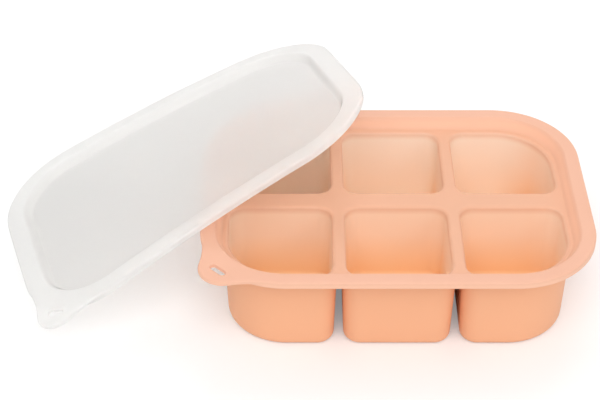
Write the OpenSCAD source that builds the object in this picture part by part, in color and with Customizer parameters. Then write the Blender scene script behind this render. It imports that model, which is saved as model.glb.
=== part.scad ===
// Six-cup freezer tray for baby food, moulded in soft silicone, with its
// frosted lid taken off and leaning against the tray's left side, where it sags a little.
// X runs along the tray, Y away from the front, Z up, in millimetres.
// The origin is the middle of the front middle cup's base, on the table.

/* [Tray] */
// Length of the tray over its rim
tray_l = 205; // [180:1:240]
// Width of the tray over its rim
tray_w = 153.5; // [140:0.5:190]
// Height of the tray from the table to the top of its rim
tray_h = 54; // [44:1:64]
// Corner radius of the rim, seen from above
corner_r = 45; // [41:1:52]
// Width of the rim's flat band
band_w = 7; // [5:0.5:7.5]
// Width of the slope that leads from the band down to the deck
slope_w = 5; // [4:0.2:5.4]
// Depth of the deck below the top of the rim
deck_drop = 6.5; // [5.5:0.5:8]
// Height of the rim's turned-down lip, from the top of the rim
lip_h = 3.8; // [3.4:0.2:6]
// Wall of the rim and of the deck
rim_wall = 2.2; // [1.6:0.1:2.8]

/* [Cups] */
// Cups along the tray
columns = 3; // [2:1:4]
// Cups across the tray
rows = 2; // [2:1:3]
// Distance from the rim's outer edge to the cup openings
cup_margin = 14.4; // [14.2:0.1:18]
// Deck between two cups that stand side by side along the tray
column_gap = 7; // [6:0.5:12]
// Deck between two cups that stand one behind the other
row_gap = 13; // [8:0.5:18]
// Wall of a cup
cup_wall = 2.4; // [1.4:0.1:2.6]
// Thickness of a cup's base
base_t = 2.4; // [1.6:0.1:4]
// Draft of the cup walls, in degrees
draft = 1.8; // [0.6:0.2:3]
// Corner radius of a cup where it faces another cup
inner_r = 8; // [7:0.5:12]
// Radius of the rounded edge round each cup opening
mouth_r = 1.8; // [1:0.2:2.4]
// Radius inside a cup where its wall meets the base
floor_r = 2.6; // [1.5:0.1:4.5]

/* [Lid] */
// Wall of the lid
lid_wall = 1.5; // [1:0.1:2.2]
// Clearance all round between the closed lid and the tray
lid_fit = 0.3; // [0.2:0.05:0.8]
// Depth of the lid's sunken panel below the top of the lid
lid_drop = 5; // [3:0.5:5]
// Height of the lid's skirt, from the top of the lid
skirt_h = 3.5; // [3:0.1:6]

/* [Ear] */
// Radius of the ear at the front left corner
ear_r = 13; // [11:0.5:13]
// Distance of the ear's centre from the two sides of the rim
ear_in = 13.4; // [13:0.2:15]
// Radius of the hollow curve between the ear and the rim
ear_blend = 50; // [20:1:80]
// Material left outside the slot in the ear
ear_web = 7.2; // [5:0.2:8]
// Length of the hanging slot in the ear
slot_l = 10; // [8:0.5:12]
// Width of the hanging slot
slot_w = 3.6; // [3:0.2:4.4]

/* [Leaning lid] */
// Lid's centre to the right of the tray's centre
lid_x = -119.4; // [-125:0.2:-112]
// Lid's centre behind the tray's centre
lid_y = 34.6; // [20:0.2:42]
// Turn of the lid in its own plane, in degrees
lid_spin = 18.2; // [10:0.2:30]
// Direction in which the lid rises, in degrees from +X
rise_turn = -7.5; // [-15:0.5:0]
// Radius of the bend that the soft lid takes under its own weight
bend_r = 630; // [500:10:2000]
// Direction of the line that it bends over, in degrees from the lid's length
bend_turn = -46; // [-60:1:-30]
// Gap left where the lid stands on the table and rests on the rim
seat_gap = 0.3; // [0.1:0.05:0.5]

/* [Hidden] */

arc_steps = 8;          // facets in a quarter turn of an outline
ear_steps = 10;         // facets round the ear
blend_steps = 4;        // facets in each hollow curve beside the ear
curve_steps = 6;        // steps down the slope between band and deck
round_steps = 3;        // steps round a rounded edge
side_steps = 7;         // parts of a straight side that bends
panel_steps = 3;        // rings across the bent panel
rest_steps = 24;        // parts of the rim's sides where the lid may rest
edge_r = 1;             // rounded top edge of both rims
skirt_in = 0.2;         // set-back of the lid's skirt from the edge of its band
through = 1;            // how far a cut runs past the face that it opens

cup_l = (tray_l - 2 * cup_margin - (columns - 1) * column_gap) / columns;
cup_w = (tray_w - 2 * cup_margin - (rows - 1) * row_gap) / rows;
outer_r = min(corner_r - cup_margin, cup_l - inner_r, cup_w - inner_r);    // at the rim's corners
deck_z = tray_h - deck_drop;
front_row_y = -(rows - 1) / 2 * (cup_w + row_gap);
middle_column_x = ((columns - 1) / 2 - floor((columns - 1) / 2)) * (cup_l + column_gap);
tray_centre = [middle_column_x, -front_row_y, 0];

lid_over = lid_fit + lid_wall + skirt_in;       // lid's overhang past the rim
lid_l = tray_l + 2 * lid_over;
lid_w = tray_w + 2 * lid_over;
lid_r = corner_r + lid_over;
lid_ear = [ear_in + lid_over, ear_r + lid_over];
lid_band = band_w + lid_over + lid_fit;         // band of the lid, on its underside
panel_in = lid_band + slope_w;                  // flat of the panel, from the lid's edge
lid_turn = lid_spin - rise_turn;

// Points on an arc, from the angle a0 to the angle a1, without the first ones if asked
function arc(centre, r, a0, a1, steps, first = 0) =
    [for (k = [first : steps])
        let (a = a0 + (a1 - a0) * k / steps) centre + r * [cos(a), sin(a)]];

// Points between the ends of a straight side
function between(a, b, parts) = [for (k = [1 : 1 : parts - 1]) a + (b - a) * k / parts];

// Outline of a rounded rectangle, drawn in by inset, with the four corners' radii from
// the back right corner anticlockwise
function outline(l, w, radii, inset = 0) =
    [for (c = [0 : 3])
        let (sx = (c == 0 || c == 3) ? 1 : -1, sy = c < 2 ? 1 : -1, r = radii[c])
        each arc([sx * (l / 2 - r), sy * (w / 2 - r)], r - inset, 90 * c, 90 * c + 90, arc_steps)];

// The same outline with the ear at its front left corner, its straight sides in parts.
// The ear is an arc on the diagonal of the corner, and a hollow arc on each side blends
// it into the rim.
function ear_outline(l, w, r, ear, inset = 0, parts = 1) =
    let (x = l / 2 - r,
         y = w / 2 - r,
         q = r - inset,
         corner = [-x, -y],
         middle = [ear.x - l / 2, ear.x - w / 2],
         apart = (r - ear.x) * sqrt(2),
         far = r + ear_blend,
         near = ear.y + ear_blend,
         at_corner = acos((apart * apart + far * far - near * near) / (2 * apart * far)),
         at_ear = acos((apart * apart + near * near - far * far) / (2 * apart * near)),
         first = corner + far * [cos(225 - at_corner), sin(225 - at_corner)],
         last = corner + far * [cos(225 + at_corner), sin(225 + at_corner)])
    concat(
        arc([x, y], q, 0, 90, arc_steps),
        between([x, y + q], [-x, y + q], parts),
        arc([-x, y], q, 90, 180, arc_steps),
        between([-x - q, y], [-x - q, -y], parts),
        arc(corner, q, 180, 225 - at_corner, blend_steps),
        arc(first, ear_blend + inset, 45 - at_corner, at_ear - 135, blend_steps, 1),
        arc(middle, ear.y - inset, 45 + at_ear, 405 - at_ear, ear_steps, 1),
        arc(last, ear_blend + inset, 225 - at_ear, 45 + at_corner, blend_steps, 1),
        arc(corner, q, 225 + at_corner, 270, blend_steps, 1),
        between([-x, -y - q], [x, -y - q], parts),
        arc([x, -y], q, 270, 360, arc_steps),
        between([x + q, -y], [x + q, y], parts));

// The points of an ear outline drawn in to the plain rounded rectangle inside it
function plain(points, l, w, r, inset) =
    [for (p = points)
        let (core = [max(r - l / 2, min(l / 2 - r, p.x)), max(r - w / 2, min(w / 2 - r, p.y))],
             out = p - core)
        core + (r - inset) * out / norm(out)];

// Depth of the slope at a part of its width: it leaves the band and meets the flat gently
function dip(depth, part) = depth * (1 - cos(180 * part)) / 2;

// An outline at a height
function ring(points, z) = [for (p = points) [p.x, p.y, z]];

// How far the bent lid hangs down at a point of its own plane
function sag(p) =
    let (off = p.y * cos(bend_turn) - p.x * sin(bend_turn)) off * off / (2 * bend_r);

function bent(points) = [for (p = points) [p.x, p.y, p.z - sag(p)]];

lid_edge = ear_outline(lid_l, lid_w, lid_r, lid_ear, 0, side_steps);

// Ring of the lid at an inset from its edge and a height, shrunk to a share of its size
function lid_ring(inset, z, share = 1) =
    bent(ring(share * plain(lid_edge, lid_l, lid_w, lid_r, inset), z));

// Height of the lid's centre at a tilt, when its lowest corner stands on the table
function height_on_table(tilt) =
    seat_gap - min([for (p = concat(lid_ring(skirt_in, -skirt_h), bent(ring(lid_edge, -lid_wall))))
        (p.x * cos(lid_turn) - p.y * sin(lid_turn)) * sin(tilt) + p.z * cos(tilt)]);

// Point of the panel's underside that lies over a point of the table, in the lid's own
// plane. The height there depends on the point, so it is found in a few rounds.
function panel_over(rise, side, tilt, z, rounds) =
    let (along = (rise + z * sin(tilt)) / cos(tilt),
         p = [along * cos(lid_turn) + side * sin(lid_turn),
              side * cos(lid_turn) - along * sin(lid_turn)])
    rounds == 0 ? [p.x, p.y, z, along * sin(tilt) + z * cos(tilt)]
    : panel_over(rise, side, tilt, -lid_drop - lid_wall - sag(p), rounds - 1);

// Height of the lid's centre at a tilt, when its panel rests on the rounded edge of the rim
function height_on_rim(tilt) =
    tray_h - edge_r + (edge_r + seat_gap) / cos(tilt)
    + max(concat([-tray_h],
        [for (e = ear_outline(tray_l, tray_w, corner_r, [ear_in, ear_r], edge_r, rest_steps))
            let (d = e - [lid_x, lid_y],
                 p = panel_over(d.x * cos(rise_turn) + d.y * sin(rise_turn),
                                d.y * cos(rise_turn) - d.x * sin(rise_turn),
                                tilt, -lid_drop - lid_wall, 5))
            if (abs(p[0]) < lid_l / 2 - panel_in && abs(p[1]) < lid_w / 2 - panel_in) -p[3]]));

// The tilt at which both are true, found by halving the interval
function lean(low, high, halvings) =
    let (middle = (low + high) / 2)
    halvings == 0 ? middle
    : height_on_table(middle) < height_on_rim(middle) ? lean(middle, high, halvings - 1)
    : lean(low, middle, halvings - 1);

lid_tilt = lean(5, 50, 20);
lid_z = height_on_table(lid_tilt);

// Closed solid through a stack of rings, from the lowest to the highest. Its ends are
// flat, or run to a middle point where one is given.
module loft(rings, low = undef, high = undef) {
    n = len(rings[0]);
    count = len(rings) * n;
    last = count - n;
    polyhedron(
        points = concat([for (r = rings) each r], is_undef(low) ? [] : [low, high]),
        faces = concat(
            [for (k = is_undef(low) ? [] : [0 : n - 1]) let (next = (k + 1) % n)
                each [[k, next, count], [last + next, last + k, count + 1]]],
            [for (ends = is_undef(low) ? [0, 1] : [])
                [for (k = [0 : n - 1]) ends == 0 ? k : last + n - 1 - k]],
            [for (i = [0 : len(rings) - 2]) for (k = [0 : n - 1])
                let (next = (k + 1) % n, here = i * n, above = here + n)
                each [[here + k, above + k, above + next], [here + k, above + next, here + next]]]));
}

// Shallow dish under the rim of the tray. out moves it outwards and down moves it down,
// which makes the outside of the wall.
module dish(out = 0, down = 0) {
    radii = [for (c = [0 : 3]) corner_r];
    loft(concat(
        [for (k = [curve_steps : -1 : 0])
            let (part = k / curve_steps)
            ring(outline(tray_l, tray_w, radii, band_w - out + slope_w * part),
                 -down - dip(deck_drop, part))],
        [ring(outline(tray_l, tray_w, radii, band_w - out), down > 0 ? -down / 2 : through)]));
}

// Rim of the tray, its top at height 0: a flat band with the ear, a turned-down lip and
// the dish
module rim() {
    radii = [for (c = [0 : 3]) corner_r];
    difference() {
        union() {
            loft([for (k = [0 : round_steps + 1])
                let (turn = 90 * max(0, k - 1) / round_steps)
                ring(ear_outline(tray_l, tray_w, corner_r, [ear_in, ear_r],
                                 edge_r * (1 - cos(turn))),
                     k == 0 ? -rim_wall : -edge_r * (1 - sin(turn)))]);
            difference() {
                loft([ring(outline(tray_l, tray_w, radii), -lip_h),
                      ring(outline(tray_l, tray_w, radii), -rim_wall / 2 - edge_r / 2)]);
                loft([ring(outline(tray_l, tray_w, radii, rim_wall), -lip_h - through),
                      ring(outline(tray_l, tray_w, radii, rim_wall), -rim_wall)]);
            }
            dish(rim_wall / 2, rim_wall);
        }
        dish();
        ear_slot(tray_l, tray_w, [ear_in, ear_r]);
    }
}

// Round-ended slot across the diagonal of the front left corner
module ear_slot(l, w, ear) {
    from_corner = ear.x * sqrt(2) - ear.y + ear_web + slot_w / 2;
    translate([-l / 2, -w / 2, -tray_h / 2]) rotate([0, 0, 45]) translate([from_corner, 0, 0])
        linear_extrude(tray_h / 2 + through) {
            square([slot_w, slot_l - slot_w], center = true);
            for (side = [-1, 1]) translate([0, side * (slot_l - slot_w) / 2])
                circle(d = slot_w, $fn = 24);
        }
}

// Corner radii of the cup in a column and a row: large at the tray's own corners
function cup_radii(column, row) =
    [for (c = [0 : 3])
        let (at_end = (c == 0 || c == 3) ? column == columns - 1 : column == 0,
             at_side = c < 2 ? row == rows - 1 : row == 0)
        at_end && at_side ? outer_r : inner_r];

// Drafted cup form, its top ring at height 0 and its flat base at -depth.
// grow is added all round, and round_r is the radius at the base.
module cup_form(column, row, depth, grow, round_r) {
    radii = [for (r = cup_radii(column, row)) r + grow];
    l = cup_l + 2 * grow;
    w = cup_w + 2 * grow;
    loft(concat(
        [for (k = [0 : round_steps])
            let (turn = 90 * k / round_steps, up = round_r * (1 - cos(turn)))
            ring(outline(l, w, radii, tan(draft) * (depth - up) + round_r * (1 - sin(turn))),
                 up - depth)],
        [ring(outline(l, w, radii), 0)]));
}

// Rounded edge of a cup opening, as the solid that is cut away at the deck
module cup_mouth(column, row) {
    radii = cup_radii(column, row);
    loft(concat(
        [for (k = [0 : round_steps])
            let (turn = 90 * k / round_steps)
            ring(outline(cup_l, cup_w, radii, -mouth_r * (1 - cos(turn))), mouth_r * (sin(turn) - 1))],
        [ring(outline(cup_l, cup_w, radii, -mouth_r), through)]));
}

// Puts its children at each cup, with $column and $row set for them
module each_cup() {
    for ($column = [0 : columns - 1], $row = [0 : rows - 1])
        translate([($column - (columns - 1) / 2) * (cup_l + column_gap),
                   ($row - (rows - 1) / 2) * (cup_w + row_gap), 0])
            children();
}

module tray() {
    color([0.98, 0.75, 0.60]) translate(tray_centre) difference() {
        union() {
            translate([0, 0, tray_h]) rim();
            each_cup() translate([0, 0, deck_z - rim_wall / 2])
                cup_form($column, $row, deck_z - rim_wall / 2, cup_wall, floor_r + cup_wall / 2);
        }
        each_cup() translate([0, 0, deck_z]) {
            cup_mouth($column, $row);
            cup_form($column, $row, deck_z - base_t, 0, floor_r);
        }
    }
}

// The lid in its own plane, the top of its band at height 0 where it isn't bent. The
// rings run from the middle of the underside out to the skirt, and back over the top.
module bent_lid() {
    difference() {
        loft(concat(
            [for (k = [1 : panel_steps])
                lid_ring(panel_in, -lid_drop - lid_wall, k / panel_steps)],
            [for (k = [curve_steps - 1 : -1 : 0])
                let (part = k / curve_steps)
                lid_ring(lid_band + slope_w * part, -lid_wall - dip(lid_drop, part))],
            [for (z = [-lid_wall, -skirt_h]) lid_ring(skirt_in + lid_wall, z)],
            [for (z = [-skirt_h, -lid_wall]) lid_ring(skirt_in, z)],
            [for (k = [0 : round_steps + 1])
                let (turn = 90 * max(0, k - 1) / round_steps)
                bent(ring(ear_outline(lid_l, lid_w, lid_r, lid_ear,
                                      edge_r * (1 - cos(turn)), side_steps),
                          k == 0 ? -lid_wall : -edge_r * (1 - sin(turn))))],
            [for (k = [0 : curve_steps])
                let (part = k / curve_steps)
                lid_ring(lid_band + lid_wall / 2 + slope_w * part, -dip(lid_drop, part))],
            [for (k = [panel_steps - 1 : -1 : 1])
                lid_ring(panel_in + lid_wall / 2, -lid_drop, k / panel_steps)]),
            [0, 0, -lid_drop - lid_wall], [0, 0, -lid_drop]);
        ear_slot(lid_l, lid_w, lid_ear);
    }
}

module lid() {
    color([0.93, 0.92, 0.91]) translate(tray_centre + [lid_x, lid_y, lid_z])
        rotate([0, 0, rise_turn]) rotate([0, -lid_tilt, 0]) rotate([0, 0, lid_turn])
            bent_lid();
}

tray();
lid();
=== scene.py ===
import math

import bmesh
import bpy
import numpy as np
from mathutils import Matrix, Vector, geometry


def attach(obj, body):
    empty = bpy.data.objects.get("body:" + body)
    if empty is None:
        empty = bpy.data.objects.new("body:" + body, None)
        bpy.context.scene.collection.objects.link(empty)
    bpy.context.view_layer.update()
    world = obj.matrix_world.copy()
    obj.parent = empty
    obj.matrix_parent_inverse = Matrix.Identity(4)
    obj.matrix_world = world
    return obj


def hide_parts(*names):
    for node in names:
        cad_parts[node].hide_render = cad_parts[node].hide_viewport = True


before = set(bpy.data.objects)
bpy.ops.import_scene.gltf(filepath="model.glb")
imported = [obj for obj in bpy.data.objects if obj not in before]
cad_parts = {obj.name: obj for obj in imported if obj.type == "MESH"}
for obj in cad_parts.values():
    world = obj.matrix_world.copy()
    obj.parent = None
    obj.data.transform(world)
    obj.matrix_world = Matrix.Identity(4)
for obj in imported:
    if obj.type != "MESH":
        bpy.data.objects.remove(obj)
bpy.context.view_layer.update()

mm = 0.001                              # the sizes below are in millimetres
weldDistance = 0.002 * mm               # points nearer than this become one


# nodes: a wrapped socket does maths, and one method adds any other node

colourA, colourB, colourOut = 6, 7, 2   # the colour sockets of a Mix node, by number


class Wire:
    def __init__(self, graph, socket):
        self.graph, self.socket = graph, socket

    def beside(self, output):           # another output of the same node
        return Wire(self.graph, self.socket.node.outputs[output])

    def maths(self, operation, *others):
        return self.graph.add("ShaderNodeMath", {"operation": operation}, dict(enumerate((self, *others))))

    def flipped(self, operation, other):
        return self.graph.add("ShaderNodeMath", {"operation": operation}, {0: other, 1: self})

    def __add__(self, other):
        return self.maths("ADD", other)

    def __radd__(self, other):
        return self.flipped("ADD", other)

    def __sub__(self, other):
        return self.maths("SUBTRACT", other)

    def __rsub__(self, other):
        return self.flipped("SUBTRACT", other)

    def __mul__(self, other):
        return self.maths("MULTIPLY", other)

    def __rmul__(self, other):
        return self.flipped("MULTIPLY", other)

    def __truediv__(self, other):
        return self.maths("DIVIDE", other)

    def __rtruediv__(self, other):
        return self.flipped("DIVIDE", other)

    def __gt__(self, other):
        return self.maths("GREATER_THAN", other)

    def __lt__(self, other):
        return self.maths("LESS_THAN", other)


class Graph:
    def __init__(self, tree):
        self.tree = tree

    def add(self, kind, settings=None, inputs=None, output=0):
        node = self.tree.nodes.new(kind)
        for name, value in (settings or {}).items():
            setattr(node, name, value)
        for name, value in (inputs or {}).items():
            for one in (value if isinstance(value, list) else [value]):
                if isinstance(one, Wire):
                    self.tree.links.new(one.socket, node.inputs[name])
                else:
                    node.inputs[name].default_value = one
        return Wire(self, node.outputs[output]) if len(node.outputs) else node

    def mix(self, share, under, over):  # two colours
        return self.add("ShaderNodeMix", {"data_type": "RGBA"},
                        {"Factor": share, colourA: under, colourB: over}, colourOut)

    def noise(self, where, scale, detail):
        return self.add("ShaderNodeTexNoise", {}, {"Vector": where, "Scale": scale, "Detail": detail})

    def stored(self, *names):           # attributes of the mesh
        return [self.add("ShaderNodeAttribute", {"attribute_name": name}, output="Fac") for name in names]


def newMaterial(name):
    material = bpy.data.materials.new(name)
    material.use_nodes = True
    material.node_tree.nodes.clear()
    return material, Graph(material.node_tree)


# outlines, seen from above and anticlockwise

def arcPoints(centre, radius, start, end, steps, first=0):
    turns = np.radians(np.linspace(start, end, steps + 1)[first:])
    return np.asarray(centre) + radius * np.stack([np.cos(turns), np.sin(turns)], axis=1)


def sidePoints(start, end, parts):      # between two points, without them
    shares = np.arange(1, parts)[:, None] / parts
    return np.asarray(start) * (1 - shares) + np.asarray(end) * shares


def earOutline(rim, inset=0.0):         # rounded rectangle with the ear at its front left corner
    r, earIn, earRadius, blend = rim["corner"], rim["earIn"], rim["earRadius"], rim["earBlend"]
    x, y, q = rim["length"] / 2 - r, rim["width"] / 2 - r, rim["corner"] - inset
    steps, parts, fine = rim["cornerSteps"], rim["sideParts"], rim["blendSteps"]
    toEar, back = 225, 45               # degrees, from the corner's centre to the ear, and back
    corner, middle = np.array([-x, -y]), np.array([earIn - rim["length"] / 2, earIn - rim["width"] / 2])
    apart, far, near = (r - earIn) * math.sqrt(2), r + blend, earRadius + blend
    atCorner = math.degrees(math.acos((apart**2 + far**2 - near**2) / (2 * apart * far)))
    atEar = math.degrees(math.acos((apart**2 + near**2 - far**2) / (2 * apart * near)))
    hollow = [corner + far * np.array([math.cos(math.radians(turn)), math.sin(math.radians(turn))])
              for turn in (toEar - atCorner, toEar + atCorner)]
    return np.concatenate([
        arcPoints([x, y], q, 0, 90, steps),
        sidePoints([x, y + q], [-x, y + q], parts),
        arcPoints([-x, y], q, 90, 180, steps),
        sidePoints([-x - q, y], [-x - q, -y], parts),
        arcPoints(corner, q, 180, toEar - atCorner, fine),
        arcPoints(hollow[0], blend + inset, back - atCorner, toEar + atEar - 360, fine, 1),
        arcPoints(middle, earRadius - inset, back + atEar, back + 360 - atEar, rim["earSteps"], 1),
        arcPoints(hollow[1], blend + inset, toEar - atEar, back + atCorner, fine, 1),
        arcPoints(corner, q, toEar + atCorner, 270, fine, 1),
        sidePoints([-x, -y - q], [x, -y - q], parts),
        arcPoints([x, -y], q, 270, 360, steps),
        sidePoints([x + q, -y], [x + q, y], parts)])


def plainOutline(rim, inset):           # the same points drawn in to the rounded rectangle
    points = earOutline(rim)
    reach = np.array([rim["length"] / 2 - rim["corner"], rim["width"] / 2 - rim["corner"]])
    core = np.clip(points, -reach, reach)
    out = points - core
    return core + (rim["corner"] - inset) * out / np.linalg.norm(out, axis=1, keepdims=True)


def slotOutline(rim, grow):             # hanging slot, across the diagonal at the ear
    half, radius = (rim["slotLength"] - rim["slotWidth"]) / 2, rim["slotWidth"] / 2
    fromCorner = rim["earIn"] * math.sqrt(2) - rim["earRadius"] + rim["earWeb"] + radius
    points = np.concatenate([
        arcPoints([fromCorner, half], radius + grow, 0, 180, rim["slotSteps"]),
        arcPoints([fromCorner, -half], radius + grow, 180, 360, rim["slotSteps"])])
    turn = math.radians(45)
    points = points @ np.array([[math.cos(turn), math.sin(turn)], [-math.sin(turn), math.cos(turn)]])
    return points + np.array([-rim["length"] / 2, -rim["width"] / 2])


# shells, gathered as points and faces

class Shell:
    def __init__(self):
        self.points, self.faces, self.count = [], [], 0

    def put(self, points):
        self.points.append(points)
        self.count += len(points)
        return self.count - len(points)

    def strip(self, rings):             # rings as (outline, height), joined in turn
        starts = [self.put(np.column_stack([ring, np.broadcast_to(height, len(ring))]))
                  for ring, height in rings]
        n = len(rings[0][0])
        for low, high in zip(starts, starts[1:]):
            self.faces += [(low + k, low + (k + 1) % n, high + (k + 1) % n, high + k) for k in range(n)]

    def cap(self, ring, height, rounds):            # closes a ring in to the origin
        shares = np.linspace(1, 0, rounds + 1)[:-1]
        self.strip([(ring * share, height) for share in shares])
        pole = self.put(np.array([[0, 0, height]]))
        n = len(ring)
        self.faces += [(pole - n + k, pole - n + (k + 1) % n, pole) for k in range(n)]

    def plate(self, edge, holes, height):           # flat, from an edge to its holes
        loops = [edge] + holes
        starts = np.cumsum([0] + [len(loop) for loop in loops])
        edges = [(int(a + k), int(a + (k + 1) % len(loop))) for a, loop in zip(starts, loops)
                 for k in range(len(loop))]
        insideOnly, tolerance = 1, 1e-5             # keeps only the triangles inside the loops
        places, _, triangles, *_ = geometry.delaunay_2d_cdt(
            [Vector(point) for point in np.concatenate(loops)], edges, [], insideOnly, tolerance)
        places = np.array([[p.x, p.y] for p in places])
        start = self.put(np.column_stack([places, np.full(len(places), height)]))
        for triangle in triangles:
            middle = places[list(triangle)].mean(axis=0)
            if isInside(middle, edge) and not any(isInside(middle, hole) for hole in holes):
                self.faces.append(tuple(start + k for k in triangle))

    def mesh(self, name):
        made = bpy.data.meshes.new(name)
        made.from_pydata((np.concatenate(self.points) * mm).tolist(), [], self.faces)
        made.update()
        return made


def isInside(point, loop):
    x0, y0 = loop.T
    x1, y1 = np.roll(loop, -1, axis=0).T
    across = (y0 > point[1]) != (y1 > point[1])
    with np.errstate(divide="ignore", invalid="ignore"):
        reach = x0 + (point[1] - y0) * (x1 - x0) / (y1 - y0)
    return bool(np.count_nonzero(across & (point[0] < reach)) % 2)


def quarter(steps):                     # along a quarter circle: (sideways, down), each from 0 to 1
    turns = np.linspace(0, math.pi / 2, steps + 1)
    return zip(np.sin(turns), 1 - np.cos(turns))


def dip(depth, share):                  # S-shaped slope between band and deck
    return depth * (1 - math.cos(math.pi * share)) / 2


def store(made, values):                # attributes, a value for each point
    for name, value in values.items():
        made.attributes.new(name, "FLOAT", "POINT").data.foreach_set("value", value.astype(float))


def finishMesh(made, sharpAngle):       # welds the seams and turns the faces outwards
    work = bmesh.new()
    work.from_mesh(made)
    bmesh.ops.remove_doubles(work, verts=work.verts, dist=weldDistance)
    bmesh.ops.dissolve_degenerate(work, edges=work.edges, dist=weldDistance / 2)
    bmesh.ops.recalc_face_normals(work, faces=work.faces)
    if work.calc_volume(signed=True) < 0:
        bmesh.ops.reverse_faces(work, faces=work.faces)
    openEdges = sum(not edge.is_manifold for edge in work.edges)
    volume = work.calc_volume(signed=True) / mm**3
    work.to_mesh(made)
    work.free()
    made.shade_smooth()
    made.set_sharp_from_angle(angle=math.radians(sharpAngle))
    print(made.name, "has", len(made.polygons), "faces,", openEdges, "open edges,", round(volume), "mm3")


def place(name, made):
    piece = bpy.data.objects.new(name, made)
    bpy.context.scene.collection.objects.link(piece)
    return piece


def newTree(name, inputs):              # inputs as (label, kind of socket, value)
    tree = bpy.data.node_groups.new(name, "GeometryNodeTree")
    tree.interface.new_socket("Geometry", in_out="INPUT", socket_type="NodeSocketGeometry")
    for label, kind, value in inputs:
        socket = tree.interface.new_socket(label, in_out="INPUT", socket_type="NodeSocket" + kind)
        if value is not None:
            socket.default_value = value
    tree.interface.new_socket("Geometry", in_out="OUTPUT", socket_type="NodeSocketGeometry")
    graph = Graph(tree)
    sockets = graph.add("NodeGroupInput").socket.node.outputs
    return tree, graph, {socket.name: Wire(graph, socket) for socket in sockets if socket.name}


def pointPlace(graph):                  # x and y of each point
    x = graph.add("ShaderNodeSeparateXYZ", {}, {"Vector": graph.add("GeometryNodeInputPosition")})
    return x, x.beside("Y")


def endTree(graph, whole, silicone):
    coloured = graph.add("GeometryNodeSetMaterial", {}, {"Geometry": whole, "Material": silicone})
    graph.add("NodeGroupOutput", {}, {"Geometry": coloured})


def runTree(piece, tree, settings):     # gives the tree's result as a plain mesh
    modifier = piece.modifiers.new(tree.name, "NODES")
    modifier.node_group = tree
    sockets = {item.name: item.identifier for item in tree.interface.items_tree
               if item.item_type == "SOCKET" and item.in_out == "INPUT"}
    for name, value in settings.items():
        modifier[sockets[name]] = value
    depsgraph = bpy.context.evaluated_depsgraph_get()
    made = bpy.data.meshes.new_from_object(piece.evaluated_get(depsgraph), depsgraph=depsgraph)
    piece.modifiers.remove(modifier)
    if made.materials[0] is None:       # empty slot, from before the tree set the material
        made.materials.pop(index=0)
    plain = piece.data
    piece.data = made
    bpy.data.meshes.remove(plain)
    made.name = piece.name
    return made


# camera

cameraSetup = {
    "lens": 92.96, "sensor": 36.0,      # mm
    "target": (-0.0507, 0.0950, 0.0010),            # metres
    "distance": 0.9081, "clipEnd": 20.0,
    "elevation": 37.4,                  # degrees above the table
}


def addCamera(setup):
    camera = bpy.data.objects.new("photoCamera", bpy.data.cameras.new("photoCamera"))
    bpy.context.scene.collection.objects.link(camera)
    rise = math.radians(setup["elevation"])
    back = Vector((0.0, -math.cos(rise), math.sin(rise)))
    camera.location = Vector(setup["target"]) + back * setup["distance"]
    camera.rotation_euler = back.to_track_quat("Z", "Y").to_euler()
    camera.data.lens = setup["lens"]
    camera.data.sensor_width = setup["sensor"]
    camera.data.clip_end = setup["clipEnd"]
    bpy.context.scene.camera = camera


addCamera(cameraSetup)
print("camera set")


# peach silicone of the tray

peachSilicone = {
    "colour": (0.850, 0.480, 0.340, 1.0),           # of the rim
    "deeper": (0.835, 0.454, 0.310, 1.0),           # in patches
    "deck": (0.815, 0.440, 0.284, 1.0),             # between the cups, painted darker as shade where the deck sits below the rim
    "slope": (0.985, 0.580, 0.405, 1.0),            # painted light where the rim slants down to the deck, and on its lip
    "paintedCellLight": (0.99, 0.72, 0.545, 1.0),               # painted light inside a cup, standing in for light that comes through the thin walls
    "paintedCellGlow": (1.0, 0.84, 0.70, 1.0),             # painted glow on its walls towards the outside of the tray
    "paintedCellShade": (1.0, 0.62, 0.34, 1.0),             # painted shade near its base, on the walls towards other cups
    "outside": (0.975, 0.495, 0.285, 1.0),          # of the cups, painted deeper as shade where no light comes through from behind
    "cellRate": 9.0,                    # how fast the painted light of a cup comes in below the mouth
    "deepRate": 1.7,                    # how fast the painted deep shade goes out above the base
    "patches": (22.0, 3.0),             # noises: scale per metre, detail
    "grain": (1500.0, 2.0),
    "pores": (5200.0, 1.0),
    "patchShare": 0.8,                  # of the patches in the colour; the rest is grain
    "grainShare": 0.6,                  # of the grain in the bump; the rest is pores
    "roughness": 0.40, "patchRoughness": 0.08, "grainRoughness": 0.05,
    "bumpStrength": 0.35, "bumpHeight": 0.00005,    # height in metres
    "ior": 1.42,
}


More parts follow.
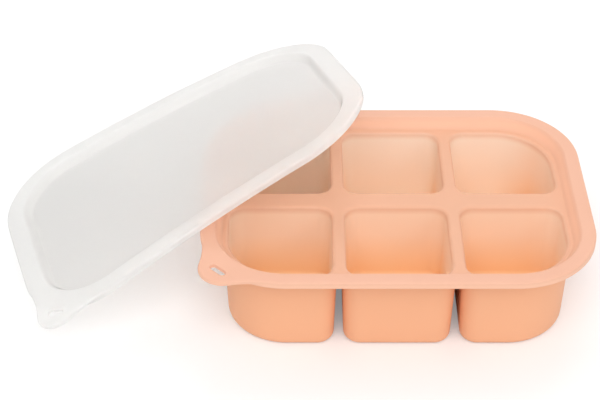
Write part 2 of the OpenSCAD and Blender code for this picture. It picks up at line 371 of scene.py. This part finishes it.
def addSilicone(name, spec):
    material, graph = newMaterial(name)
    where = graph.add("ShaderNodeTexCoord", output="Object")
    patches, grain, pores = (graph.noise(where, *spec[noise]) for noise in ("patches", "grain", "pores"))
    low, slant, depth, glow, outside = graph.stored("low", "slant", "depth", "glow", "outside")
    # painted light inside the cups comes in just below the mouth
    cellLightShare = (depth * spec["cellRate"]).maths("MINIMUM", 1.0)
    # painted shade near the base of the cups, away from the walls with the painted glow
    deep = (depth * spec["deepRate"] - (spec["deepRate"] - 1.0)).maths("MAXIMUM", 0.0) * (1.0 - glow)
    patchy = patches * spec["patchShare"] + grain * (1.0 - spec["patchShare"])
    colour = graph.mix(patchy, spec["colour"], spec["deeper"])
    # each mix below is painted: shade on the deck, light on the slope, light and glow in the cups, shade
    # near their base and on their outside
    for share, shade in ((low, "deck"), (slant, "slope"), (cellLightShare, "paintedCellLight"), (cellLightShare * glow, "paintedCellGlow"),
                         (deep, "paintedCellShade"), (outside, "outside")):
        colour = graph.mix(share, colour, spec[shade])
    bump = graph.add("ShaderNodeBump", {}, {
        "Strength": spec["bumpStrength"], "Distance": spec["bumpHeight"],
        "Height": grain * spec["grainShare"] + pores * (1.0 - spec["grainShare"])})
    shader = graph.add("ShaderNodeBsdfPrincipled", {}, {
        "Base Color": colour,
        "Roughness": spec["roughness"] + patches * spec["patchRoughness"] + grain * spec["grainRoughness"],
        "Normal": bump, "IOR": spec["ior"]})
    graph.add("ShaderNodeOutputMaterial", {}, {"Surface": shader})
    return material


# tray: rim and deck as one shell, cups set in by a tree

tray = {
    "length": 205.0, "width": 153.5, "height": 54.0, "corner": 45.0,
    "centre": (0.0, 34.425),
    "band": 7.0, "slope": 5.0, "deckDrop": 6.5,
    "lip": 3.8, "wall": 2.2, "edge": 1.0, "lipEdge": 0.5,
    "support": 0.3,                     # narrow flat kept beside the rounded edge
    "earIn": 13.4, "earRadius": 13.0, "earBlend": 50.0, "earWeb": 7.2,
    "earEdge": 0.4,                     # radius of the ear's under edge
    "earEdgeOver": 1.5,                 # the whole of it comes where the ear stands out this far
    "earFrom": 0.01,                    # and the ear's own under side where it stands out this far
    "slotLength": 10.0, "slotWidth": 3.6, "slotEdge": 0.4,
    "cornerSteps": 28, "sideParts": 10, "blendSteps": 16, "earSteps": 30, "slotSteps": 16,
    "slopeSteps": 18, "edgeSteps": 6, "smallEdgeSteps": 4,
    "sharpAngle": 40,                   # degrees, past which an edge isn't shaded smooth
}

cups = {
    "columns": 3, "rows": 2,
    "length": 54.067, "width": 55.85,
    "columnGap": 7.0, "rowGap": 13.0,
    "wall": 2.4, "base": 2.4, "draft": 1.8,         # draft in degrees
    "outerCorner": 30.6, "innerCorner": 8.0,
    "mouth": 1.8, "floor": 2.6, "foot": 3.8, "collar": 0.8,
    "support": 0.3, "collarSupport": 0.12,          # narrow flats kept beside the rounded edges
    "cornerSteps": 20, "sideParts": 6, "wallParts": 6,
    "mouthSteps": 8, "floorSteps": 8, "footSteps": 8, "collarSteps": 5, "baseRounds": 3,
    "glowFrom": 0.5, "glowRate": 2.2,   # the painted glow starts halfway to the wall and grows this fast
    "endGlow": 0.35,                    # of the end walls, against 1 for front and back
}


def cupCorners(column, row):            # radii, large where the tray's own corner is
    radii = []
    for c in range(4):
        atEnd = column == cups["columns"] - 1 if c in (0, 3) else column == 0
        atSide = row == cups["rows"] - 1 if c < 2 else row == 0
        radii.append(cups["outerCorner"] if atEnd and atSide else cups["innerCorner"])
    return radii


def cupOutline(corners, grow):          # rounded rectangle with a radius for each corner
    points = []
    for c, radius in enumerate(corners):
        sideways, away = ((1, 1), (-1, 1), (-1, -1), (1, -1))[c]
        centre = [sideways * (cups["length"] / 2 - radius), away * (cups["width"] / 2 - radius)]
        arc = arcPoints(centre, radius + grow, 90 * c, 90 * c + 90, cups["cornerSteps"])
        if points:
            points.append(sidePoints(points[-1][-1], arc[0], cups["sideParts"]))
        points.append(arc)
    points.append(sidePoints(points[-1][-1], points[0][0], cups["sideParts"]))
    return np.concatenate(points)


def cupShell(corners):
    shell = Shell()
    deck = tray["height"] - tray["deckDrop"]
    under, middle = deck - tray["wall"], deck - tray["wall"] / 2
    mouth, floor, base = cups["mouth"], cups["floor"], cups["base"]
    foot, collar, support = cups["foot"], cups["collar"], cups["support"]
    lean, depth = math.tan(math.radians(cups["draft"])), deck - base
    shares = np.linspace(0, 1, cups["wallParts"] + 1)[1:-1]

    inner = [(cupOutline(corners, mouth + support), deck)]
    inner += [(cupOutline(corners, mouth * (1 - a)), deck - mouth * b)
              for a, b in quarter(cups["mouthSteps"])]
    for share in shares:
        down = mouth + share * (depth - mouth - floor)
        inner.append((cupOutline(corners, -lean * down), deck - down))
    inner += [(cupOutline(corners, -lean * (depth - floor * (1 - a)) - floor * b), base + floor * (1 - a))
              for a, b in quarter(cups["floorSteps"])]
    inner.append((cupOutline(corners, -lean * depth - floor - support), base))
    shell.strip(inner)
    shell.cap(inner[-1][0], base, cups["baseRounds"])
    insideCount = shell.count

    def outside(height, grow=0.0):
        return cupOutline(corners, cups["wall"] - lean * (middle - height) + grow), height

    outer = [(cupOutline(corners, cups["wall"] + collar + cups["collarSupport"]), under)]
    outer += [(cupOutline(corners, cups["wall"] + collar * (1 - a)), under - collar * b)
              for a, b in quarter(cups["collarSteps"])]
    outer += [outside(under - collar + share * (foot - under + collar)) for share in shares]
    outer += [outside(foot * (1 - a), -foot * b) for a, b in quarter(cups["footSteps"])]
    outer.append(outside(0.0, -foot - support))
    shell.strip(outer)
    shell.cap(outer[-1][0], 0.0, cups["baseRounds"])
    return shell, insideCount


def cupPlaces():
    pitch = (cups["length"] + cups["columnGap"], cups["width"] + cups["rowGap"])
    for column in range(cups["columns"]):
        for row in range(cups["rows"]):
            yield column, row, np.array([(column - (cups["columns"] - 1) / 2) * pitch[0],
                                         (row - (cups["rows"] - 1) / 2) * pitch[1]])


def rimShell():
    shell = Shell()
    top, wall, edge, small = tray["height"], tray["wall"], tray["edge"], tray["smallEdgeSteps"]
    band, slope, drop = tray["band"], tray["slope"], tray["deckDrop"]
    shares = np.linspace(0, 1, tray["slopeSteps"] + 1)
    shell.strip([(plainOutline(tray, band + slope * share), top - dip(drop, share))
                 for share in shares[::-1]])
    side = [(earOutline(tray, edge + tray["support"]), top)]
    shell.plate(side[0][0], [plainOutline(tray, band), slotOutline(tray, tray["slotEdge"])], top)

    side += [(earOutline(tray, edge * (1 - a)), top - edge * b) for a, b in quarter(tray["edgeSteps"])]
    ear, plain, r = earOutline(tray), plainOutline(tray, 0), tray["earEdge"]
    out = np.clip(np.linalg.norm(ear - plain, axis=1) / tray["earEdgeOver"], 0, 1)
    for a, b in quarter(small):         # under edge of the ear, which fades into the lip
        inward = ear * (1 - out[:, None]) + earOutline(tray, r * b) * out[:, None]
        side.append((inward, top - wall + r * out * (1 - a)))
    shell.strip(side)
    under = side[-1][0]
    own = np.flatnonzero(np.linalg.norm(under - plain, axis=1) > tray["earFrom"])
    start, end = own[0] - 1, own[-1] + 1
    earLoop = np.concatenate([under[start:end + 1], plain[end - 1:start:-1]])
    shell.plate(earLoop, [slotOutline(tray, tray["slotEdge"])], top - wall)

    r, foot, below = tray["lipEdge"], top - tray["lip"], band - wall / 2
    lip = [(plain, top - wall)]
    lip += [(plainOutline(tray, r * b), foot + r * (1 - a)) for a, b in quarter(small)]
    lip += [(plainOutline(tray, wall - r * (1 - a)), foot + r * b) for a, b in quarter(small)]
    lip.append((plainOutline(tray, wall), top - wall - r))
    lip += [(plainOutline(tray, wall + r * b), top - wall - r * (1 - a)) for a, b in quarter(small)]
    lip += [(plainOutline(tray, below + slope * share), top - wall - dip(drop, share)) for share in shares]
    shell.strip(lip)

    r = tray["slotEdge"]
    slot = [(slotOutline(tray, r * (1 - a)), top - r * b) for a, b in quarter(small)]
    slot += [(slotOutline(tray, r * b), top - wall + r * (1 - a)) for a, b in quarter(small)]
    shell.strip(slot)

    mouths, collars = [], []
    for column, row, at in cupPlaces():
        corners = cupCorners(column, row)
        mouths.append(at + cupOutline(corners, cups["mouth"] + cups["support"]))
        collars.append(at + cupOutline(corners, cups["wall"] + cups["collar"] + cups["collarSupport"]))
    shell.plate(plainOutline(tray, band + slope), mouths, top - drop)
    shell.plate(plainOutline(tray, below + slope), collars, top - drop - wall)
    return shell


def cupTree():
    tree, graph, given = newTree("cup grid", [
        ("Columns", "Int", 3), ("Rows", "Int", 2),
        ("Column pitch", "Float", 0.06), ("Row pitch", "Float", 0.07),
        ("Corner cup", "Object", None), ("Other corner cup", "Object", None),
        ("Middle cup", "Object", None),
        ("Weld distance", "Float", weldDistance), ("Silicone", "Material", None)])
    grid = graph.add("GeometryNodeMeshGrid", {}, {
        "Size X": (given["Columns"] - 1.0) * given["Column pitch"],
        "Size Y": (given["Rows"] - 1.0) * given["Row pitch"],
        "Vertices X": given["Columns"], "Vertices Y": given["Rows"]})
    templates = graph.add("GeometryNodeJoinGeometry", {}, {"Geometry": [
        graph.add("GeometryNodeObjectInfo", {"transform_space": "ORIGINAL"},
                  {"Object": given[label], "As Instance": True}, "Geometry")
        for label in ("Middle cup", "Other corner cup", "Corner cup")]})
    x, y = pointPlace(graph)
    near = 1.0 * mm                     # a column nearer to the middle than this is the middle one
    onLeft = (x * -1.0) > near
    atEnd = x * x > near * near
    crossed = x * y < 0.0               # front right and back left
    which = 2.0 - atEnd * (2.0 - crossed)           # a join counts its last link as 0
    turned = onLeft + (1.0 - atEnd) * (y < 0.0)
    placed = graph.add("GeometryNodeInstanceOnPoints", {}, {
        "Points": grid, "Instance": templates, "Pick Instance": True, "Instance Index": which,
        "Rotation": graph.add("ShaderNodeCombineXYZ", {}, {"Z": turned * math.pi})})
    made = graph.add("GeometryNodeRealizeInstances", {}, {"Geometry": placed})
    whole = graph.add("GeometryNodeJoinGeometry", {}, {"Geometry": [made, given["Geometry"]]})
    welded = graph.add("GeometryNodeMergeByDistance", {}, {
        "Geometry": whole, "Distance": given["Weld distance"]})
    endTree(graph, welded, given["Silicone"])
    return tree


def cupTemplate(label, column, row):
    shell, insideCount = cupShell(cupCorners(column, row))
    made = shell.mesh(label)
    x, y, z = np.concatenate(shell.points).T
    inside = np.arange(len(z)) < insideCount
    deck = tray["height"] - tray["deckDrop"]
    away = y if row else -y             # towards the outside of the tray
    # painted glow on the cup walls towards the outside of the tray
    sideGlow, endGlow = (np.clip((reach - cups["glowFrom"]) * cups["glowRate"], 0, 1)
                         for reach in (away / (cups["width"] / 2), x / (cups["length"] / 2)))
    endGlow = endGlow * cups["endGlow"] * (column == cups["columns"] - 1)
    # masks for the painted light, glow and shade of the cups; low is 1 so the deck's painted shade lies
    # under them
    store(made, {"depth": inside * np.clip((deck - z) / (deck - cups["base"]), 0, 1),
                 "glow": inside * np.maximum(sideGlow, endGlow),
                 "outside": ~inside, "low": np.ones_like(z)})
    return place(label.replace(" ", "_"), made)


def addTray(material):
    end, back = cups["columns"] - 1, cups["rows"] - 1
    templates = {label: cupTemplate(label, column, row) for label, column, row in (
        ("Corner cup", end, back), ("Other corner cup", end, 0), ("Middle cup", end - 1, back))}
    rim = rimShell()
    made = rim.mesh("siliconeTray")
    # how far a point sits below the rim top carries the painted shade of the deck
    low = np.clip((tray["height"] - np.concatenate(rim.points)[:, 2]) / tray["deckDrop"], 0, 1)
    store(made, {"low": low, "slant": 4 * low * (1 - low)})     # the painted light of the slope is strongest halfway down
    piece = place("siliconeTray", made)
    made = runTree(piece, cupTree(), {
        "Columns": cups["columns"], "Rows": cups["rows"],
        "Column pitch": (cups["length"] + cups["columnGap"]) * mm,
        "Row pitch": (cups["width"] + cups["rowGap"]) * mm,
        "Weld distance": weldDistance, "Silicone": material, **templates})
    for template in templates.values():
        bpy.data.objects.remove(template)
    made.transform(Matrix.Translation((tray["centre"][0] * mm, tray["centre"][1] * mm, 0)))
    finishMesh(made, tray["sharpAngle"])
    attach(piece, "tray")
    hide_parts("tray")


addTray(addSilicone("peachSilicone", peachSilicone))
print("tray made")


# frosted silicone of the lid

frostedSilicone = {
    "panel": (0.940, 0.932, 0.918, 1.0),
    "thick": (1.0, 0.995, 0.985, 1.0),              # band and skirt, painted paler, standing in for the light that the thicker silicone scatters back
    "patches": (16.0, 4.0),             # noises: scale per metre, detail
    "grain": (1300.0, 3.0),
    "patchShare": 0.25,                 # how much the patches move the shade between the two
    "roughness": 0.64, "patchRoughness": 0.10, "grainRoughness": 0.05,
    "bumpStrength": 0.4, "bumpHeight": 0.00006,     # height in metres
    "transmission": 0.66,
    "ior": 1.40,
}


def addFrosted(name, spec):
    material, graph = newMaterial(name)
    where = graph.add("ShaderNodeTexCoord", output="Object")
    patches, grain = (graph.noise(where, *spec[noise]) for noise in ("patches", "grain"))
    # painted pale on the band and skirt, from a mask stored on the mesh
    thickness = graph.stored("thickness")[0]
    patchy = thickness + (patches - 0.5) * spec["patchShare"]
    bump = graph.add("ShaderNodeBump", {}, {
        "Strength": spec["bumpStrength"], "Distance": spec["bumpHeight"], "Height": grain})
    shader = graph.add("ShaderNodeBsdfPrincipled", {}, {
        "Base Color": graph.mix(patchy, spec["panel"], spec["thick"]),
        "Roughness": spec["roughness"] + patches * spec["patchRoughness"] + grain * spec["grainRoughness"],
        "Normal": bump, "Transmission Weight": spec["transmission"], "IOR": spec["ior"]})
    graph.add("ShaderNodeOutputMaterial", {}, {"Surface": shader})
    return material


# lid: made flat with the top of its band at 0, then bent and leant on the rim by a tree

lid = {
    "length": 209.0, "width": 157.5, "corner": 47.0,
    "band": 9.3, "slope": 5.0, "drop": 5.0, "wall": 1.5, "edge": 1.0,
    "support": 0.3,                     # narrow flat kept beside the rounded edge
    "skirt": 3.5, "skirtIn": 0.2, "skirtEdge": 0.3,
    "paleOver": 1.4,                    # how far on to the slope the painted pale of the band fades
    "earIn": 15.4, "earRadius": 15.0, "earBlend": 50.0, "earWeb": 7.2,
    "slotLength": 10.0, "slotWidth": 3.6, "slotEdge": 0.3,
    "cornerSteps": 24, "sideParts": 24, "blendSteps": 16, "earSteps": 30, "slotSteps": 16,
    "slopeSteps": 18, "edgeSteps": 6, "slotEdgeSteps": 4, "skirtSteps": 3, "panelRounds": 12,
    "sharpAngle": 40,                   # degrees, past which an edge isn't shaded smooth
    "bendRadius": 630.0, "bendTurn": -46.0,         # of the sag under its own weight
    "turn": 25.7, "tilt": 25.7206, "riseTurn": -7.5,            # degrees, in this order
    "centre": (-119.4, 69.025, 53.2235),
}


def lidShell():
    shell = Shell()
    wall, drop, slope, edge = lid["wall"], lid["drop"], lid["slope"], lid["edge"]
    below, above = lid["band"], lid["band"] + wall / 2
    skirtIn, foot, r = lid["skirtIn"], -lid["skirt"], lid["skirtEdge"]
    shares = np.linspace(0, 1, lid["slopeSteps"] + 1)
    under = [(plainOutline(lid, below + slope * share), -wall - dip(drop, share)) for share in shares[::-1]]
    under.append((plainOutline(lid, skirtIn + wall), -wall))
    under += [(plainOutline(lid, skirtIn + wall - r * b), foot + r * (1 - a))
              for a, b in quarter(lid["skirtSteps"])]
    under += [(plainOutline(lid, skirtIn + r * (1 - a)), foot + r * b)
              for a, b in quarter(lid["skirtSteps"])]
    under.append((plainOutline(lid, skirtIn), -wall))
    shell.strip(under)

    side = [(earOutline(lid), -wall)]
    shell.plate(side[0][0], [plainOutline(lid, skirtIn), slotOutline(lid, 0)], -wall)
    side += [(earOutline(lid, edge * b), -edge * (1 - a)) for a, b in quarter(lid["edgeSteps"])]
    side.append((earOutline(lid, edge + lid["support"]), 0.0))
    shell.strip(side)
    shell.plate(side[-1][0], [plainOutline(lid, above), slotOutline(lid, lid["slotEdge"])], 0.0)

    r = lid["slotEdge"]
    slot = [(slotOutline(lid, r * (1 - a)), -r * b) for a, b in quarter(lid["slotEdgeSteps"])]
    slot.append((slotOutline(lid, 0), -wall))
    shell.strip(slot)
    shell.strip([(plainOutline(lid, above + slope * share), -dip(drop, share)) for share in shares])
    shell.cap(plainOutline(lid, above + slope), -drop, lid["panelRounds"])
    shell.cap(plainOutline(lid, below + slope), -wall - drop, lid["panelRounds"])
    return shell


def leanTree():
    tree, graph, given = newTree("bend and lean", [
        ("Bend radius", "Float", 0.6), ("Bend turn", "Float", 0.0),
        ("Turn", "Float", 0.0), ("Tilt", "Float", 0.0), ("Rise turn", "Float", 0.0),
        ("Centre", "Vector", (0.0, 0.0, 0.0)), ("Silicone", "Material", None)])
    x, y = pointPlace(graph)
    off = y * given["Bend turn"].maths("COSINE") - x * given["Bend turn"].maths("SINE")
    sag = off * off / (given["Bend radius"] * 2.0)
    shape = graph.add("GeometryNodeSetPosition", {}, {
        "Geometry": given["Geometry"], "Offset": graph.add("ShaderNodeCombineXYZ", {}, {"Z": sag * -1.0})})
    for axis, angle in (("Z", given["Turn"]), ("Y", given["Tilt"] * -1.0), ("Z", given["Rise turn"])):
        shape = graph.add("GeometryNodeTransform", {}, {
            "Geometry": shape, "Rotation": graph.add("ShaderNodeCombineXYZ", {}, {axis: angle})})
    shape = graph.add("GeometryNodeTransform", {}, {"Geometry": shape, "Translation": given["Centre"]})
    made = graph.add("GeometryNodeRealizeInstances", {}, {"Geometry": shape})
    endTree(graph, made, given["Silicone"])
    return tree


def addLid(material):
    made = lidShell().mesh("frostedLid")
    finishMesh(made, lid["sharpAngle"])
    places = np.empty(len(made.vertices) * 3)
    made.vertices.foreach_get("co", places)
    plan = np.abs(places.reshape(-1, 3)[:, :2]) / mm
    reach = np.array([lid["length"], lid["width"]]) / 2 - lid["corner"]
    inset = lid["corner"] - np.linalg.norm(np.clip(plan - reach, 0, None), axis=1)
    panelFrom = lid["band"] + lid["wall"] / 2
    # mask for the painted pale of the band: 1 on the band, fading to 0 on the slope
    store(made, {"thickness": np.clip((panelFrom + lid["paleOver"] - inset) / lid["paleOver"], 0, 1)})
    piece = place("frostedLid", made)
    runTree(piece, leanTree(), {
        "Bend radius": lid["bendRadius"] * mm, "Bend turn": math.radians(lid["bendTurn"]),
        "Turn": math.radians(lid["turn"]), "Tilt": math.radians(lid["tilt"]),
        "Rise turn": math.radians(lid["riseTurn"]), "Centre": [v * mm for v in lid["centre"]],
        "Silicone": material})
    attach(piece, "lid")
    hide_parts("lid")


addLid(addFrosted("frostedSilicone", frostedSilicone))
print("lid made")


# floor, light and background

studio = {
    "floor": (0.80, 0.80, 0.80, 1.0),
    "floorHalf": 4.0,                   # metres
    "floorGrain": (30.0, 2.0),          # noise: scale per metre, detail
    "floorRoughness": 0.90, "grainRoughness": 0.05,
    "floorLift": 0.22,                  # brings the lit floor to white for the camera
    "whiteFrom": 0.5, "whiteOver": 1.2,             # metres from the middle, where the floor fades to white
    "world": 0.635,
    "lamps": [                          # place, size, watts
        ((-0.3, -2.4, 3.2), 2.6, 60.0),
        ((0.3, 2.2, 3.4), 2.0, 25.5),
        ((-3.2, 0.0, 2.4), 1.6, 8.0),
        ((2.3, -2.2, 2.3), 1.6, 15.0),
    ],
    "aim": (-0.03, 0.05, 0.02),
}


def addFloor(spec):
    material, graph = newMaterial("studioFloor")
    where = graph.add("ShaderNodeTexCoord", output="Object")
    grain = graph.noise(where, *spec["floorGrain"])
    away = graph.add("ShaderNodeVectorMath", {"operation": "LENGTH"}, {0: where}, "Value")
    far = ((away - spec["whiteFrom"]) / spec["whiteOver"]).maths("MAXIMUM", 0.0).maths("MINIMUM", 1.0)
    paper = graph.add("ShaderNodeBsdfPrincipled", {}, {
        "Base Color": spec["floor"], "Specular IOR Level": 0.0,
        "Roughness": spec["floorRoughness"] + grain * spec["grainRoughness"]})
    lifted = graph.add("ShaderNodeAddShader", {}, {
        0: paper, 1: graph.add("ShaderNodeEmission", {}, {"Strength": spec["floorLift"]})})
    white = graph.add("ShaderNodeEmission", {}, {"Strength": 1.0})
    faded = graph.add("ShaderNodeMixShader", {}, {0: far, 1: lifted, 2: white})
    seen = graph.add("ShaderNodeLightPath", output="Is Camera Ray")
    mixed = graph.add("ShaderNodeMixShader", {}, {0: seen, 1: paper, 2: faded})
    graph.add("ShaderNodeOutputMaterial", {}, {"Surface": mixed})
    sheet, half = bpy.data.meshes.new("studioFloor"), spec["floorHalf"]
    corners = [(-half, -half, 0), (half, -half, 0), (half, half, 0), (-half, half, 0)]
    sheet.from_pydata(corners, [], [(0, 1, 2, 3)])
    sheet.materials.append(material)
    place("studioFloor", sheet)


def addWorld(spec):                     # white where it is seen, and dimmer as a light
    world = bpy.data.worlds.new("studioWorld")
    bpy.context.scene.world = world
    world.use_nodes = True
    world.node_tree.nodes.clear()
    graph = Graph(world.node_tree)
    seen = graph.add("ShaderNodeLightPath", output="Is Camera Ray")
    for rays in ("Is Glossy Ray", "Is Transmission Ray"):
        seen = seen.maths("MAXIMUM", graph.add("ShaderNodeLightPath", output=rays))
    background = graph.add("ShaderNodeBackground", {}, {
        "Color": (1, 1, 1, 1), "Strength": spec["world"] + seen * (1.0 - spec["world"])})
    graph.add("ShaderNodeOutputWorld", {}, {"Surface": background})


def addLamps(spec):
    for at, size, watts in spec["lamps"]:
        lamp = bpy.data.lights.new("softLamp", "AREA")
        lamp.size, lamp.energy = size, watts
        holder = bpy.data.objects.new("softLamp", lamp)
        bpy.context.scene.collection.objects.link(holder)
        holder.location = at
        holder.rotation_euler = (Vector(at) - Vector(spec["aim"])).to_track_quat("Z", "Y").to_euler()


addFloor(studio)
addWorld(studio)
addLamps(studio)
bpy.context.scene.view_settings.view_transform = "Standard"
print("studio set")
